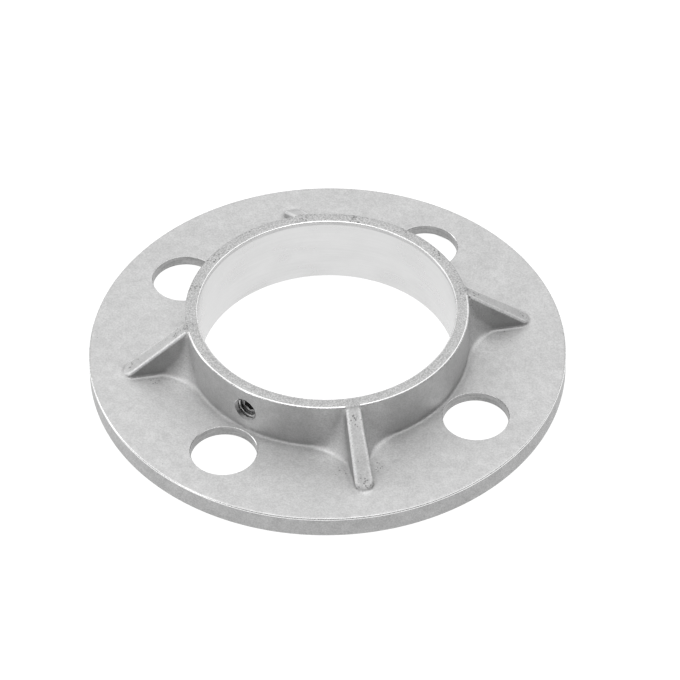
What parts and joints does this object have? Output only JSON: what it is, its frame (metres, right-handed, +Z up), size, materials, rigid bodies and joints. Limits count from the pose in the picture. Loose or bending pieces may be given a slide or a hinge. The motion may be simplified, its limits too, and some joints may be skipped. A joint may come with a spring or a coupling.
{
  "type": "stanchion base",
  "caption": "Round cast steel flange base with a ribbed tube collar, plain bolt holes round it and a set screw through the collar wall.",
  "frame": {"origin": "centre of the underside, on the bore's axis", "axes": "+Z up along the bore; the bolt holes are on +X, +Y, -X and -Y; the set screw faces -Y"},
  "size_m": [0.095, 0.095, 0.015],
  "materials": {
    "cast_steel": "bead-blasted casting with a machined bore",
    "screw_steel": "plain machined"
  },
  "bodies": {
    "base": {"base_casting": "cast_steel"},
    "screw": {"set_screw": "screw_steel"}
  },
  "joints": [
    {"name": "set_screw_travel", "type": "slide", "parent": "base", "child": "screw", "axis": [0, -1, 0], "range_m": [0, 0.0032]}
  ]
}
